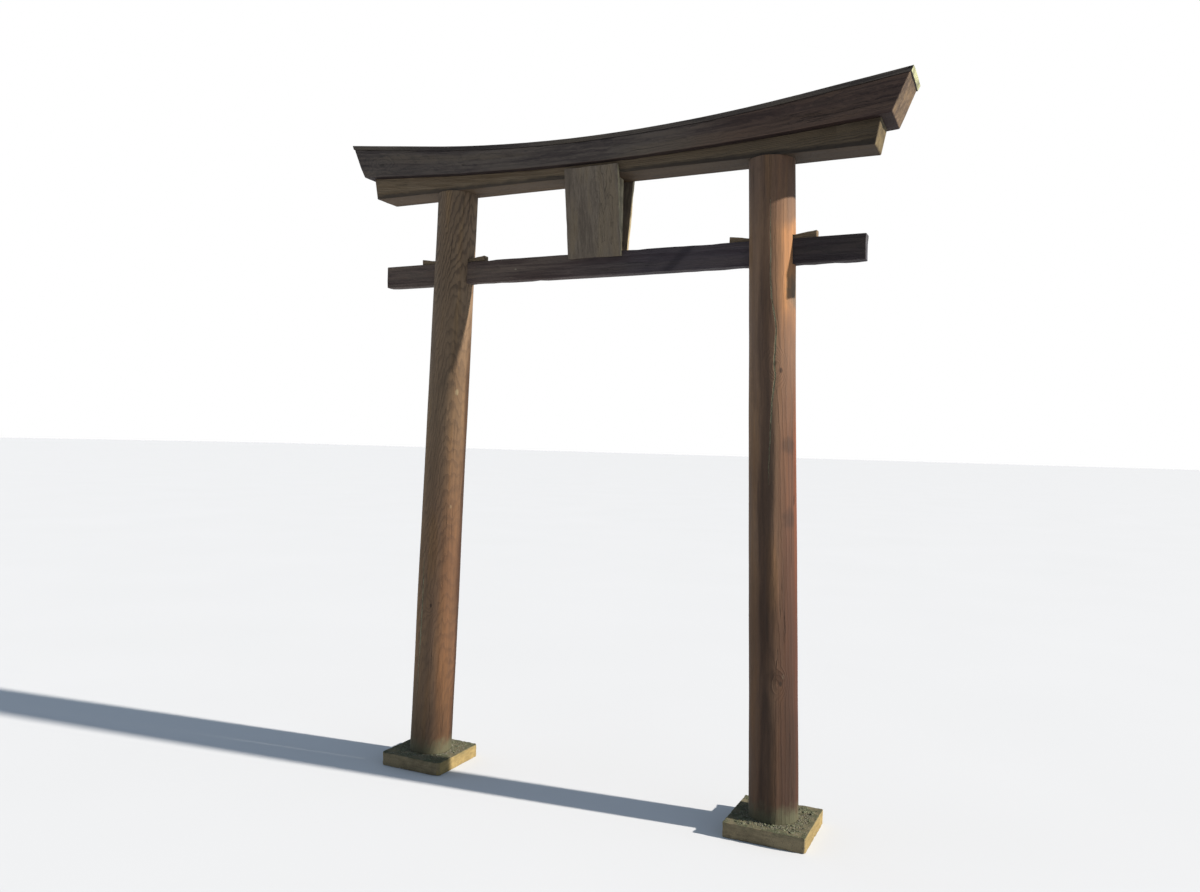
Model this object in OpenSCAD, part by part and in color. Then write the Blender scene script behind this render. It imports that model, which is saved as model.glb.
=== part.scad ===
// Shrine gate of weathered timber: two round posts that lean inwards, a straight
// tie beam wedged through them, a straight lower lintel, an upper lintel whose
// top and underside curve upwards, a thin cap board, a strut with a leaning
// tablet on each face, and a square pad under each post.
// X runs along the beams, Y through the gate (front is -Y), Z up.
// The origin is at ground level, midway between the posts.

/* [Posts] */
// centre distance of the posts where they stand on their pads
post_gap = 1800; // [1600:10:2000]
// diameter of a post at its foot
post_foot_d = 212; // [190:1:235]
// diameter of a post at its head
post_head_d = 200; // [180:1:225]
// lean of each post towards the middle, in degrees
post_lean = 1.65; // [0:0.05:2.5]
// height of the lower lintel's underside above the pads
post_h = 2847; // [2700:1:3000]

/* [Pads] */
// side of each square pad
pad_w = 356; // [320:1:380]
// thickness of a pad
pad_h = 66; // [50:1:90]
// width of the cut corners of the left pad
pad_cut = 16; // [5:1:30]
// width of the worn corners of the right pad
pad_worn = 5; // [2:1:30]
// how far the middle of a pad lies outside the middle of its post's foot
pad_shift = 2; // [0:1:20]

/* [Tie beam] */
// length of the tie beam
tie_l = 2470; // [2300:10:2600]
// height of the tie beam
tie_h = 111; // [90:1:130]
// thickness of the tie beam
tie_t = 58; // [45:1:75]
// height of the tie beam's underside above the pads
tie_z = 2387; // [2250:1:2450]

/* [Wedges] */
// how far a wedge stands out of the post
wedge_out = 88; // [60:1:110]
// height of a wedge at its thick end
wedge_thick = 27; // [22:0.5:34]
// height of a wedge at its thin end
wedge_thin = 5; // [3:0.5:8]
// width of a wedge
wedge_w = 40; // [28:1:44]
// how much further the right outer wedge stands out
wedge_more_out = 10; // [0:1:20]
// how much thicker the right outer wedge is at its thick end
wedge_more_thick = 4; // [0:0.5:8]
// height of the gap over the tie beam that the wedges fill
slot_h = 16; // [12:0.5:20]

/* [Lintels] */
// length of the lower lintel along its underside
low_l = 2541; // [2400:1:2600]
// length by which each end of the lower lintel leans out at the top
low_slant = 21; // [5:1:30]
// height of the lower lintel in the middle
low_h = 56; // [48:1:70]
// thickness of the lower lintel
low_t = 162; // [145:1:180]
// rise of the upper lintel's underside from the middle to its ends
under_rise = 58; // [40:1:70]
// length of the upper lintel along its underside
up_l = 2674; // [2600:1:2760]
// height of the upper lintel and the cap board together, in the middle
up_h = 120; // [105:1:135]
// thickness of the upper lintel
up_t = 229; // [205:1:250]
// rise of the gate's top from the middle to its ends
top_rise = 113; // [90:1:125]
// distance by which each end leans out at the top
up_slant = 77; // [50:1:95]
// half length of the underside's curved middle, past which it is straight
under_c = 1100; // [600:50:1200]
// half length of the top's curved middle, past which it is straight
top_c = 950; // [600:50:1300]
// thickness of the cap board
cap_t = 22; // [16:1:28]
// how far the cap board stands past the upper lintel's faces
cap_over = 3; // [1:0.5:8]
// how far the cap board stands past the upper lintel's ends
cap_end = 5; // [2:0.5:10]

/* [Tablets] */
// width of the tablets
tab_w = 276; // [230:1:300]
// height of the tablets
tab_h = 420; // [400:1:440]
// thickness of a tablet
tab_t = 20; // [15:1:25]
// width of the strut behind the tablets
strut_w = 226; // [180:1:226]
// distance of the tablets and strut from the middle
tab_x = -15; // [-25:1:25]
// how far a tablet laps over the tie beam's face
tie_lap = 26; // [10:1:60]

/* [Hidden] */
$fn = 96;
curve_fn = 720;                  // facets of the wide arcs when they are drawn
pad_x = post_gap / 2 + pad_shift;
tie_z0 = pad_h + tie_z;
wedge_z0 = tie_z0 + tie_h;       // underside of the wedges and of the strut
low_z0 = pad_h + post_h;
up_z0 = low_z0 + low_h;          // underside of the upper lintel in the middle
top_z0 = up_z0 + up_h;           // top of the gate in the middle
under_m = under_rise / (up_l / 2 - under_c / 2);
end_x = up_l / 2 + up_slant;
up_lean = up_slant / (up_h + top_rise - under_rise);   // slant of the upper lintel's ends
top_m = top_rise / (end_x - top_c / 2);
// stub tenon at a post's head
tenon_h = 29;
tenon_x = 110;
tenon_y = 60;
root = 5;                        // how deep a tenon is rooted in its post, so that they are one solid
trim = 40;                       // length of log cut off level below the foot and above the head
wedge_gap = 2;                   // half the gap that is left between two wedges in a slot
// the shapes that only cut are larger than what they cut
far = 2000;
high = 900;
cut_t = 400;
slot_l = 800;

function lean_x(z) = post_gap / 2 - (z - pad_h) * tan(post_lean);

// all that lies above a curve: an arc with its lowest point at height z0,
// reaching out to c each side, and straight on from there at slope m
module above(z0, c, m) {
    r = c / sin(atan(m));
    zc = z0 + r - sqrt(r * r - c * c);
    translate([0, 0, z0 + r])
        rotate([90, 0, 0])
            cylinder(r = r, h = cut_t, center = true, $fn = curve_fn);
    for (s = [0, 1])
        mirror([s, 0, 0])
            rotate([90, 0, 0])
                linear_extrude(cut_t, center = true)
                    polygon([[c, zc], [far, zc + (far - c) * m], [far, z0 + high], [c, z0 + high]]);
}

// a beam's block with both ends leaning out: half length x0 at height z0,
// half length x1 at height z1
module block(x0, z0, x1, z1, t) {
    rotate([90, 0, 0]) linear_extrude(t, center = true)
        polygon([[-x0, z0], [x0, z0], [x1, z1], [-x1, z1]]);
}

module pad(cut) {
    linear_extrude(pad_h)
        difference() {
            square(pad_w, center = true);
            for (a = [0:90:270])
                rotate(a)
                    translate([pad_w / 2, pad_w / 2])
                        rotate(45)
                            square([cut * sqrt(2), pad_w / 2], center = true);
        }
}

// the stub tenon on the head of the post on the +X side
module tenon() {
    translate([lean_x(low_z0), 0, low_z0 + (tenon_h - root) / 2])
        cube([tenon_x, tenon_y, tenon_h + root], center = true);
}

// a post on the +X side, with its slot for the tie beam and its stub tenon
module post() {
    difference() {
        union() {
            intersection() {
                translate([post_gap / 2, 0, pad_h])
                    rotate([0, -post_lean, 0])
                        translate([0, 0, -trim])
                            cylinder(d1 = post_foot_d, d2 = post_head_d, h = post_h + 2 * trim);
                translate([0, -far / 2, pad_h])
                    cube([far, far, post_h]);
            }
            tenon();
        }
        translate([(post_gap - slot_l) / 2, -tie_t / 2, tie_z0])
            cube([slot_l, tie_t, tie_h + slot_h]);
    }
}

// a wedge on the tie beam, thick end outwards; s is 1 on the outer side of the
// right post and -1 on its inner side
module wedge(s, more_out = 0, more_thick = 0) {
    face = post_head_d / 2;
    out = face + wedge_out + more_out;
    thick = wedge_thick + more_thick;
    m = (thick - slot_h) / (out - face);
    tip = max(face - (slot_h - wedge_thin) / m, wedge_gap);
    translate([lean_x(wedge_z0), 0, wedge_z0])
        rotate([90, 0, 0])
            linear_extrude(wedge_w, center = true)
                polygon([[s * out, 0], [s * out, thick], [s * face, slot_h],
                         [s * tip, wedge_thin], [s * tip, 0]]);
}

// hangs on the lower lintel's face and the tie beam's face, leaning out at the top
module tablet() {
    lean = atan((low_t - tie_t) / 2 / (low_z0 - wedge_z0));
    translate([tab_x, -tie_t / 2, wedge_z0])
        rotate([lean, 0, 0])
            translate([-tab_w / 2, -tab_t, -tie_lap])
                cube([tab_w, tab_t, tab_h]);
}

module pad_left() color([0.45, 0.44, 0.40]) translate([-pad_x, 0, 0]) pad(pad_cut);
module pad_right() color([0.45, 0.44, 0.40]) translate([pad_x, 0, 0]) pad(pad_worn);
module post_left() color([0.36, 0.27, 0.20]) mirror([1, 0, 0]) post();
module post_right() color([0.36, 0.27, 0.20]) post();
module tie_beam() color([0.20, 0.15, 0.14])
    translate([-tie_l / 2, -tie_t / 2, tie_z0])
        cube([tie_l, tie_t, tie_h]);
module wedge_left_outer() color([0.30, 0.25, 0.20]) mirror([1, 0, 0]) wedge(1);
module wedge_left_inner() color([0.30, 0.25, 0.20]) mirror([1, 0, 0]) wedge(-1);
module wedge_right_inner() color([0.30, 0.25, 0.20]) wedge(-1);
module wedge_right_outer() color([0.30, 0.25, 0.20]) wedge(1, wedge_more_out, wedge_more_thick);

// the block reaches well above the curve, with its ends at the same slant
module lower_lintel() color([0.30, 0.26, 0.20]) difference() {
    block(low_l / 2, low_z0, low_l / 2 + 2 * low_slant, low_z0 + 2 * (low_h + under_rise), low_t);
    above(up_z0, under_c, under_m);
    for (s = [0, 1])
        mirror([s, 0, 0])
            tenon();
}

// the block reaches well below the curve, with its ends at the same slant
module upper_lintel() color([0.23, 0.18, 0.15]) difference() {
    intersection() {
        block(up_l / 2 - 2 * under_rise * up_lean, up_z0 - under_rise, end_x, top_z0 + top_rise, up_t);
        above(up_z0, under_c, under_m);
    }
    above(top_z0 - cap_t, top_c, top_m);
}

module cap_board() color([0.36, 0.34, 0.24]) difference() {
    intersection() {
        block(up_l / 2 + cap_end, up_z0 + under_rise, end_x + cap_end, top_z0 + top_rise,
              up_t + 2 * cap_over);
        above(top_z0 - cap_t, top_c, top_m);
    }
    above(top_z0, top_c, top_m);
}

module tablet_strut() color([0.33, 0.30, 0.24])
    translate([tab_x - strut_w / 2, -tie_t / 2, wedge_z0])
        cube([strut_w, tie_t, low_z0 - wedge_z0]);
module tablet_front() color([0.36, 0.33, 0.26]) tablet();
module tablet_back() color([0.36, 0.33, 0.26]) mirror([0, 1, 0]) tablet();

pad_left();
pad_right();
post_left();
post_right();
tie_beam();
wedge_left_outer();
wedge_left_inner();
wedge_right_inner();
wedge_right_outer();
lower_lintel();
upper_lintel();
cap_board();
tablet_strut();
tablet_front();
tablet_back();
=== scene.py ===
"""A shrine gate of weathered timber on two mossy pads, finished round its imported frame.

Lengths are in metres, in the frame's axes: X along the beams, front towards -Y, Z up.
"""

import math
import random

import bmesh
import bpy
from bpy.props import FloatProperty, FloatVectorProperty, IntProperty, PointerProperty
from bpy.types import Operator, Panel, PropertyGroup
from mathutils import Euler, Matrix, Vector, noise


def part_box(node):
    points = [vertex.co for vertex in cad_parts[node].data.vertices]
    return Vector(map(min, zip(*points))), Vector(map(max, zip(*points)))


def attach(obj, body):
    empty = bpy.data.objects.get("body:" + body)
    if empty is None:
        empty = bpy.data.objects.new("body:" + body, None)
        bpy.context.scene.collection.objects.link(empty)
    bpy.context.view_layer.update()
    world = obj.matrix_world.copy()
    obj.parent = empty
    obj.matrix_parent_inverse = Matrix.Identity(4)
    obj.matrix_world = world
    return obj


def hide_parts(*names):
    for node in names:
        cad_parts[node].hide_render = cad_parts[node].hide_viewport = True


bl_info = {
    "name": "Shrine gate",
    "version": (1, 0, 0),
    "blender": (4, 5, 0),
    "location": "View3D > Sidebar > Gate",
    "description": "Finishes a timber shrine gate round its packed frame",
    "category": "Add Mesh",
}

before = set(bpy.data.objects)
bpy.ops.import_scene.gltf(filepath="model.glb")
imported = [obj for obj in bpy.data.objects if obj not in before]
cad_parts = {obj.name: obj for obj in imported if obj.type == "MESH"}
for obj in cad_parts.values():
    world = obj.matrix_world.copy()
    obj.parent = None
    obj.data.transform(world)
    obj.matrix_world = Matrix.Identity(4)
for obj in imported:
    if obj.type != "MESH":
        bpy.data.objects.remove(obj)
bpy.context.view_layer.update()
BODY = "root"
POSTS = ("post_left", "post_right")
PADS = ("pad_left", "pad_right")
TABLETS = ("tablet_front", "tablet_back")
ALONG_X = (0.0, -math.pi / 2, 0.0)
UPRIGHT = (0.0, 0.0, 0.0)
SLOT_ROOM = 0.016  # height of the gap over the tie beam in a post's slot, which the wedges fill
SLOT_LENGTH = 0.9  # a slot's cutter reaches right through its post
BLADE_PITCH = 0.02  # between the cuts along a check's cutter
BLADE_OUT = 0.008  # how far a check's cutter stands out of its post
PAD_CORNERS = (0.016, 0.005)  # width of the cut corners of each pad
GRIT_SIZES = (0.0016, 0.0042)
MOSS_SIZES = (0.006, 0.014)
FLOOR_TONES = ((0.510, 0.565, 0.645), (0.530, 0.585, 0.670))


def metres(name, description, default):
    return FloatProperty(name=name, description=description, default=default, unit="LENGTH")


def whole(name, description, default, least=0):
    return IntProperty(name=name, description=description, default=default, min=least)


def degrees(name, description, default):
    return FloatProperty(name=name, description=description, default=math.radians(default), subtype="ANGLE")


def tint(name, description, default):
    return FloatVectorProperty(
        name=name, description=description, default=default, subtype="COLOR", min=0.0, max=1.0
    )


class GateShape(PropertyGroup):
    """Sizes that the finishing adds to the frame's own."""

    arris: metres("Arris", "Width of the worn edge of a beam", 0.004)
    board_arris: metres("Board arris", "Width of the worn edge of a board", 0.0025)
    post_sides: whole("Post sides", "Faces round a post", 120, 24)
    post_rings: whole("Post rings", "Cuts along a post", 110, 12)
    log_wave: metres("Log wave", "How unevenly a post is rounded", 0.0035)
    nick: metres("Nicks", "Deepest nick in a beam's arris", 0.003)
    beam_wave: metres("Beam wave", "How unevenly a beam is planed", 0.0012)
    foot_d: metres("Post foot", "Diameter at the foot", 0.212)
    head_d: metres("Post head", "Diameter at the head", 0.200)
    check_width: metres("Check width", "Widest gap of a drying check", 0.012)
    check_depth: metres("Check depth", "Depth of an open drying check", 0.026)
    filled_depth: metres("Filled check depth", "Depth of a check that grit has filled", 0.0075)
    board_wave: metres("Board wave", "How unevenly a board is planed", 0.0006)
    wedge_arris: metres("Wedge arris", "Width of the worn edge of a wedge", 0.0015)
    wedge_wave: metres("Wedge wave", "How unevenly a wedge is planed", 0.0004)
    wedge_nick: metres("Wedge nicks", "Deepest nick in a wedge's arris", 0.0015)
    pad_wear: metres("Pad wear", "Roundness of a pad's edges", 0.005)
    pad_wave: metres("Pad wave", "How unevenly a pad is dressed", 0.0010)
    pad_nick: metres("Pad nicks", "Deepest nick in a pad's arris", 0.0025)
    grit: whole("Grit", "Crumbs of grit on each pad", 620)
    moss: whole("Moss", "Cushions of moss on each pad", 110)


class GateColours(PropertyGroup):
    """Colours of the bare wood, its dark rings, its stains, the stone and the moss."""

    left_light: tint("Left post, light rings", "Early wood of the left post", (0.144, 0.100, 0.064))
    left_dark: tint("Left post, dark rings", "Late wood of the left post", (0.067, 0.045, 0.030))
    right_light: tint("Right post, light rings", "Early wood of the right post", (0.134, 0.081, 0.050))
    right_dark: tint("Right post, dark rings", "Late wood of the right post", (0.062, 0.036, 0.024))
    lintel_light: tint("Lintel, light rings", "Early wood of the lower lintel", (0.115, 0.080, 0.046))
    lintel_dark: tint("Lintel, dark rings", "Late wood of the lower lintel", (0.057, 0.039, 0.024))
    brown_light: tint("Top beam, light rings", "Early wood of the upper lintel", (0.045, 0.035, 0.034))
    brown_dark: tint("Top beam, dark rings", "Late wood of the upper lintel", (0.023, 0.018, 0.020))
    tie_light: tint("Tie beam, light rings", "Early wood of the tie beam", (0.057, 0.038, 0.035))
    tie_dark: tint("Tie beam, dark rings", "Late wood of the tie beam", (0.034, 0.024, 0.022))
    board_light: tint("Boards, light rings", "Early wood of the tablets", (0.108, 0.086, 0.067))
    board_dark: tint("Boards, dark rings", "Late wood of the tablets", (0.067, 0.053, 0.039))
    cap_light: tint("Cap board, light rings", "Early wood of the cap board", (0.038, 0.031, 0.030))
    cap_dark: tint("Cap board, dark rings", "Late wood of the cap board", (0.022, 0.018, 0.018))
    grey: tint("Weathering", "Silver grey of old bare wood", (0.108, 0.095, 0.073))
    damp: tint("Damp", "Stain where water stands or drips", (0.026, 0.021, 0.018))
    lichen: tint("Lichen", "Pale green bloom in old checks and chips", (0.330, 0.330, 0.235))
    stone: tint("Stone", "Body of the pads", (0.198, 0.156, 0.071))
    soil: tint("Soil", "Thin soil on top of the pads", (0.105, 0.105, 0.078))
    moss: tint("Moss", "Moss and lichen", (0.071, 0.082, 0.053))
    grit: tint("Grit", "Pale crumbs on the pads", (0.203, 0.206, 0.177))


class GateStage(PropertyGroup):
    """The floor, the lights and the camera."""

    floor_size: metres("Floor", "Width of the floor", 400.0)
    key: FloatProperty(name="Key", description="Strength of the warm side light", default=9.6)
    key_softness: degrees("Key softness", "Apparent width of the side light", 1.5)
    key_heading: degrees("Key heading", "Side light's turn from the right to the back", 6.3)
    key_height: degrees("Key height", "Side light's height over the floor", 26.5)
    fill: FloatProperty(name="Fill", description="Strength of the pale surroundings", default=0.28)
    side_fill: FloatProperty(name="Side fill", description="Their strength at both sides", default=0.95)
    camera_place: FloatVectorProperty(
        name="Camera", description="Place of the camera", default=(1.891, -3.968, 1.650),
        subtype="TRANSLATION",
    )
    camera_heading: degrees("Heading", "Turn of the view to the left", 25.22)
    camera_tilt: degrees("Tilt", "Tilt of the view upwards", -0.03)
    camera_roll: degrees("Roll", "Roll of the camera to the left", 1.5)
    lens: FloatProperty(name="Lens", description="Focal length", default=27.73, unit="CAMERA")


class Field:
    """A socket in a material. Arithmetic on it adds Math nodes."""

    def __init__(self, paint, socket):
        self.paint = paint
        self.socket = socket

    def math(self, operation, *values):
        return self.paint.add("ShaderNodeMath", {"operation": operation}, dict(enumerate(values)))

    def __add__(self, other):
        return self.math("ADD", self, other)

    def __sub__(self, other):
        return self.math("SUBTRACT", self, other)

    def __rsub__(self, other):
        return self.math("SUBTRACT", other, self)

    def __mul__(self, other):
        return self.math("MULTIPLY", self, other)

    def __truediv__(self, other):
        return self.math("DIVIDE", self, other)

    def __pow__(self, other):
        return self.math("POWER", self, other)

    __radd__ = __add__
    __rmul__ = __mul__

    def fraction(self):
        return self.math("FRACT", self)

    def distance_from(self, value):
        return self.math("ABSOLUTE", self - value)

    def least(self, other):
        return self.math("MINIMUM", self, other)

    def most(self, other):
        return self.math("MAXIMUM", self, other)


class Paint:
    """A procedural material, built from its Object coordinates outwards."""

    def __init__(self, name):
        self.material = bpy.data.materials.new(name)
        self.material.use_nodes = True
        self.nodes = self.material.node_tree.nodes
        self.links = self.material.node_tree.links
        self.nodes.clear()
        self.shader = self.nodes.new("ShaderNodeBsdfPrincipled")
        output = self.nodes.new("ShaderNodeOutputMaterial")
        self.links.new(self.shader.outputs["BSDF"], output.inputs["Surface"])
        self.place = self.add("ShaderNodeTexCoord", out="Object")

    def add(self, kind, settings=None, sockets=None, out=0):
        """Adds a node: its settings first, then the values or links of its sockets."""
        node = self.nodes.new(kind)
        for key, value in (settings or {}).items():
            setattr(node, key, value)
        for key, value in (sockets or {}).items():
            self.feed(node.inputs[key], value)
        return Field(self, node.outputs[out])

    def feed(self, socket, value):
        if isinstance(value, Field):
            self.links.new(value.socket, socket)
        else:
            socket.default_value = value

    def noise(self, vector, scale, detail=2.0, rough=0.5, out=0):
        sockets = {"Vector": vector, "Scale": scale, "Detail": detail, "Roughness": rough}
        return self.add("ShaderNodeTexNoise", None, sockets, out)

    def cells(self, vector, scale):
        return self.add("ShaderNodeTexVoronoi", None, {"Vector": vector, "Scale": scale}, "Distance")

    def step(self, value, low, high):
        """0 below low and 1 above high, with a soft rise between; low may be the greater."""
        return self.add(
            "ShaderNodeMapRange",
            {"interpolation_type": "SMOOTHSTEP"},
            {"Value": value, "From Min": low, "From Max": high, "To Min": 0.0, "To Max": 1.0},
        )

    def blend(self, factor, a, b):
        """Mixes two colours."""
        shades = [x if isinstance(x, Field) else (*x, 1.0) for x in (a, b)]
        settings = {"data_type": "RGBA", "blend_type": "MIX", "clamp_factor": True}
        return self.add("ShaderNodeMix", settings, {0: factor, 6: shades[0], 7: shades[1]}, out=2)

    def vector(self, operation, *values, out=0, scale=None):
        sockets = dict(enumerate(values))
        if scale is not None:
            sockets["Scale"] = scale
        return self.add("ShaderNodeVectorMath", {"operation": operation}, sockets, out)

    def shade(self, colour, factor):
        """Lightens or darkens a colour."""
        return self.vector("SCALE", colour, scale=factor)

    def times(self, a, b):
        """Multiplies two vectors or colours, part by part."""
        return self.vector("MULTIPLY", a, b)

    def toned(self, factor, colour, tone):
        """Takes a colour some way to a multiple of itself."""
        return self.blend(factor, colour, self.times(colour, tone))

    def size(self, vector):
        """The length of a vector."""
        return self.vector("LENGTH", vector, out="Value")

    def facing(self):
        """The way that the surface faces."""
        return self.add("ShaderNodeNewGeometry", out="Normal")

    def attribute(self, name):
        """What the piece says about itself in an attribute."""
        return self.add("ShaderNodeAttribute", {"attribute_name": name}, out="Fac")

    def parts(self, vector):
        split = self.add("ShaderNodeSeparateXYZ", None, {0: vector})
        return [Field(self, s) for s in split.socket.node.outputs]

    def along(self, origin, turn):
        """Object coordinates moved to an origin and then turned."""
        shift = -(Euler(turn).to_matrix() @ Vector(origin))
        return self.add(
            "ShaderNodeMapping",
            {"vector_type": "POINT"},
            {"Vector": self.place, "Location": tuple(shift), "Rotation": turn},
        )

    def bumps(self, *layers):
        """Each layer is a height from 0 to 1 and its real depth in metres."""
        normal = None
        for height, depth in layers:
            sockets = {"Height": height, "Distance": depth, "Strength": 1.0}
            if normal is not None:
                sockets["Normal"] = normal
            normal = self.add("ShaderNodeBump", None, sockets)
        self.feed(self.shader.inputs["Normal"], normal)


def timber(name, pith, turn, wood, ring=0.006, figure=0.03, stretch=0.22, bow=0.0, ragged=0.003,
           arch=None, knots=(), chips=(), vivid=None, bold=0.85, splits=0.8, grey=0.3, stain=0.35, more=()):
    """Wood whose growth rings run round a pith line, cut by the piece's own faces.

    pith is a point on the pith and turn brings it upright. wood is whose light and dark rings
    it has. bow is how much the pith curves up per square metre along it. arch makes pointed
    figure: the heading and the offset of its middle, and how fast it rises and spreads. knots
    and chips are (place, size) in metres. bold is how strongly the rings show. vivid is an axis
    and the places where they start to be, and are, at their boldest. splits is how dark the
    hair splits are. more holds functions that change the colour further, given the paint and
    the colour.
    """
    colours = bpy.context.scene.gate_colours
    light, dark = (tuple(getattr(colours, f"{wood}_{rings}")) for rings in ("light", "dark"))
    paint = Paint(name)
    grain = paint.along(pith, turn)
    if bow:
        x, y, z = paint.parts(grain)
        grain = paint.add("ShaderNodeCombineXYZ", None, {0: x + z * z * bow, 1: y, 2: z})
    squeeze = knot_squeeze(turn)
    shake = paint.noise(paint.times(grain, (1.0, 1.0, 0.45)), 55.0, 3.0, out="Color")
    shake = paint.vector("SCALE", paint.vector("SUBTRACT", shake, (0.5, 0.5, 0.5)), scale=ragged * 2)
    grain = paint.vector("ADD", grain, shake)
    long = paint.times(grain, (1.0, 1.0, stretch))
    radius = paint.size(paint.times(grain, (1.0, 1.0, 0.0)))
    rings = radius + (paint.noise(long, 6.5, 3.0, 0.45) - 0.5) * (figure * 2)
    if arch is not None:
        heading, offset, rise, spread = arch
        sideways = (math.cos(heading), math.sin(heading), 0.0)
        across = paint.vector("DOT_PRODUCT", grain, sideways, out="Value") - offset
        rings = rings + (across * across + 0.0002) ** 0.5 * spread + paint.parts(grain)[2] * rise
    heart = None
    for place, size in knots:
        away = distance(paint, place, squeeze)
        rings = rings + paint.step(away, size * 4.0, size * 0.4) * (size * 0.8)
        spot = paint.step(away, size * 0.75, size * 0.35)
        heart = spot if heart is None else heart.most(spot)
    turn_of_ring = (rings / ring).fraction()
    late = paint.step(turn_of_ring, 0.35, 0.80) * paint.step(turn_of_ring, 1.0, 0.86)
    plain = paint.step(paint.noise(long, 3.5, 2.0), 0.40, 0.62)
    fine = paint.noise(paint.times(grain, (1.0, 1.0, 0.035)), 480.0, 3.0, 0.65)
    coarse = paint.noise(paint.times(grain, (1.0, 1.0, 0.04)), 95.0, 4.0, 0.6)
    broad = paint.noise(paint.times(grain, (1.0, 1.0, 0.09)), 17.0, 3.0, 0.55)
    strength = bold - plain * (bold * 0.5)
    if vivid is not None:
        axis, start, end = vivid
        strength = strength.most(paint.step(paint.parts(paint.place)[axis], start, end) * 0.8)
    colour = paint.blend(late * strength, light, dark)
    colour = paint.shade(colour, (0.60 + fine * 0.80) * (0.64 + coarse * 0.72) * (0.72 + broad * 0.56))
    olive = paint.times(colour, (1.12, 1.02, 0.76))
    colour = paint.blend(paint.step(broad, 0.48, 0.66) * 0.6, colour, olive)
    weather = paint.step(paint.noise(long, 4.0, 5.0, 0.65), 0.42, 0.72)
    colour = paint.blend(weather * (grey * (1.0 - late * 0.4)), colour, colours.grey)
    blotch = paint.step(paint.noise(long, 9.0, 5.0, 0.66), 0.50, 0.76)
    colour = paint.blend(blotch * stain, colour, colours.damp)
    split = paint.noise(paint.times(grain, (1.0, 1.0, 0.018)), 30.0, 2.0, 0.6)
    where = paint.step(paint.noise(long, 10.0, 2.0), 0.52, 0.64)
    split = paint.step(split.distance_from(0.5), 0.010, 0.002) * where
    colour = paint.blend(split * splits, colour, (0.012, 0.009, 0.007))
    if heart is not None:
        colour = paint.blend(heart * 0.8, colour, tuple(c * 0.40 for c in dark))
    for place, size in chips:
        away = distance(paint, place, squeeze) + (paint.noise(paint.place, 160.0) - 0.5) * (size * 0.7)
        colour = paint.blend(paint.step(away, size, size * 0.4) * 0.35, colour, colours.lichen)
    edge = paint.attribute("arris") * paint.step(coarse + broad, 0.75, 1.15) * 0.5
    colour = paint.blend(edge, colour, paint.shade(paint.blend(0.45, colour, colours.grey), 1.5))
    for change in more:
        colour = change(paint, colour)
    paint.feed(paint.shader.inputs["Base Color"], colour)
    paint.feed(paint.shader.inputs["Roughness"], 0.68 + fine * 0.22 - late * 0.06)
    paint.shader.inputs["Specular IOR Level"].default_value = 0.25
    paint.bumps((late * 0.5 + coarse * 0.5, 0.0012), (fine, 0.0006), (1.0 - split, 0.0030))
    return paint.material


def distance(paint, place, squeeze):
    return paint.size(paint.times(paint.vector("SUBTRACT", paint.place, place), squeeze))


def knot_squeeze(turn):
    """Knots are drawn out along the grain, which is X on a beam and Z on a post."""
    return (0.5, 1.0, 1.0) if turn == ALONG_X else (1.0, 1.0, 0.6)


def drip_line(node, height):
    """A dark wet band along the lower front edge of a beam."""
    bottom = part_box(node)[0].z

    def band(paint, colour):
        z = paint.parts(paint.place)[2]
        low = paint.step(z + paint.noise(paint.place, 14.0, 3.0) * (height * 0.8), bottom + height * 1.5,
                         bottom + height * 0.7)
        side = paint.step(paint.parts(paint.facing())[1].distance_from(0.0), 0.5, 0.8)
        return paint.blend(low * side * 0.75, colour, bpy.context.scene.gate_colours.damp)

    return band


def fade(axis, start, end, tone, ragged):
    """Takes the colour to a multiple of itself between two places on an axis."""

    def change(paint, colour):
        place = paint.parts(paint.place)[axis] + (paint.noise(paint.place, 2.6, 3.0) - 0.5) * ragged
        return paint.toned(paint.step(place, start, end), colour, tone)

    return change


def painted_light_on_side(bearing, inner, outer, start, end, tone):
    """Paints light and shade on the side of a log that faces a bearing, taking the colour to a multiple of
    itself: a tone over 1 is painted light, under 1 painted shade.

    It is full within the inner angle of the bearing and nothing past the outer one, and
    comes in between two heights. The bearing is in degrees from the front to the right.
    """
    bearing = math.radians(bearing)
    way = (math.sin(bearing), -math.cos(bearing), 0.0)

    def change(paint, colour):
        streak = paint.noise(paint.times(paint.place, (1.0, 1.0, 0.12)), 16.0, 3.0, 0.6) - 0.5
        turned = paint.vector("DOT_PRODUCT", paint.facing(), way, out="Value") + streak * 0.22
        height = paint.parts(paint.place)[2] + (paint.noise(paint.place, 5.0, 3.0) - 0.5) * 0.35
        there = paint.step(turned, math.cos(math.radians(outer)), math.cos(math.radians(inner)))
        return paint.toned(there * paint.step(height, start, end), colour, tone)

    return change


def stain_and_shadow(place, size, tone):
    """A soft spot of its own size in X, Y and Z, for a stain and for painted shadow and shade."""

    def change(paint, colour):
        away = paint.vector("DIVIDE", paint.vector("SUBTRACT", paint.place, place), size)
        away = paint.size(away) + (paint.noise(paint.place, 45.0, 3.0) - 0.5) * 0.7
        return paint.toned(paint.step(away, 1.0, 0.35) * 0.8, colour, tone)

    return change


def slanting_streaks(start, end, low, high, tone):
    """Dark smears that run up to the right across a beam between two places on X."""

    def change(paint, colour):
        x, _, z = paint.parts(paint.place)
        across = x - z * 1.1 + (paint.noise(paint.place, 18.0, 3.0) - 0.5) * 0.03
        within = paint.step(x, start - 0.06, start + 0.06) * paint.step(x, end + 0.06, end - 0.06)
        smear = paint.add("ShaderNodeCombineXYZ", None, {0: across, 1: 0.0, 2: z * 0.12})
        smear = paint.step(paint.noise(smear, 8.0, 1.0, 0.5), low, high)
        return paint.toned(within * smear * 0.85, colour, tone)

    return change


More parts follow.
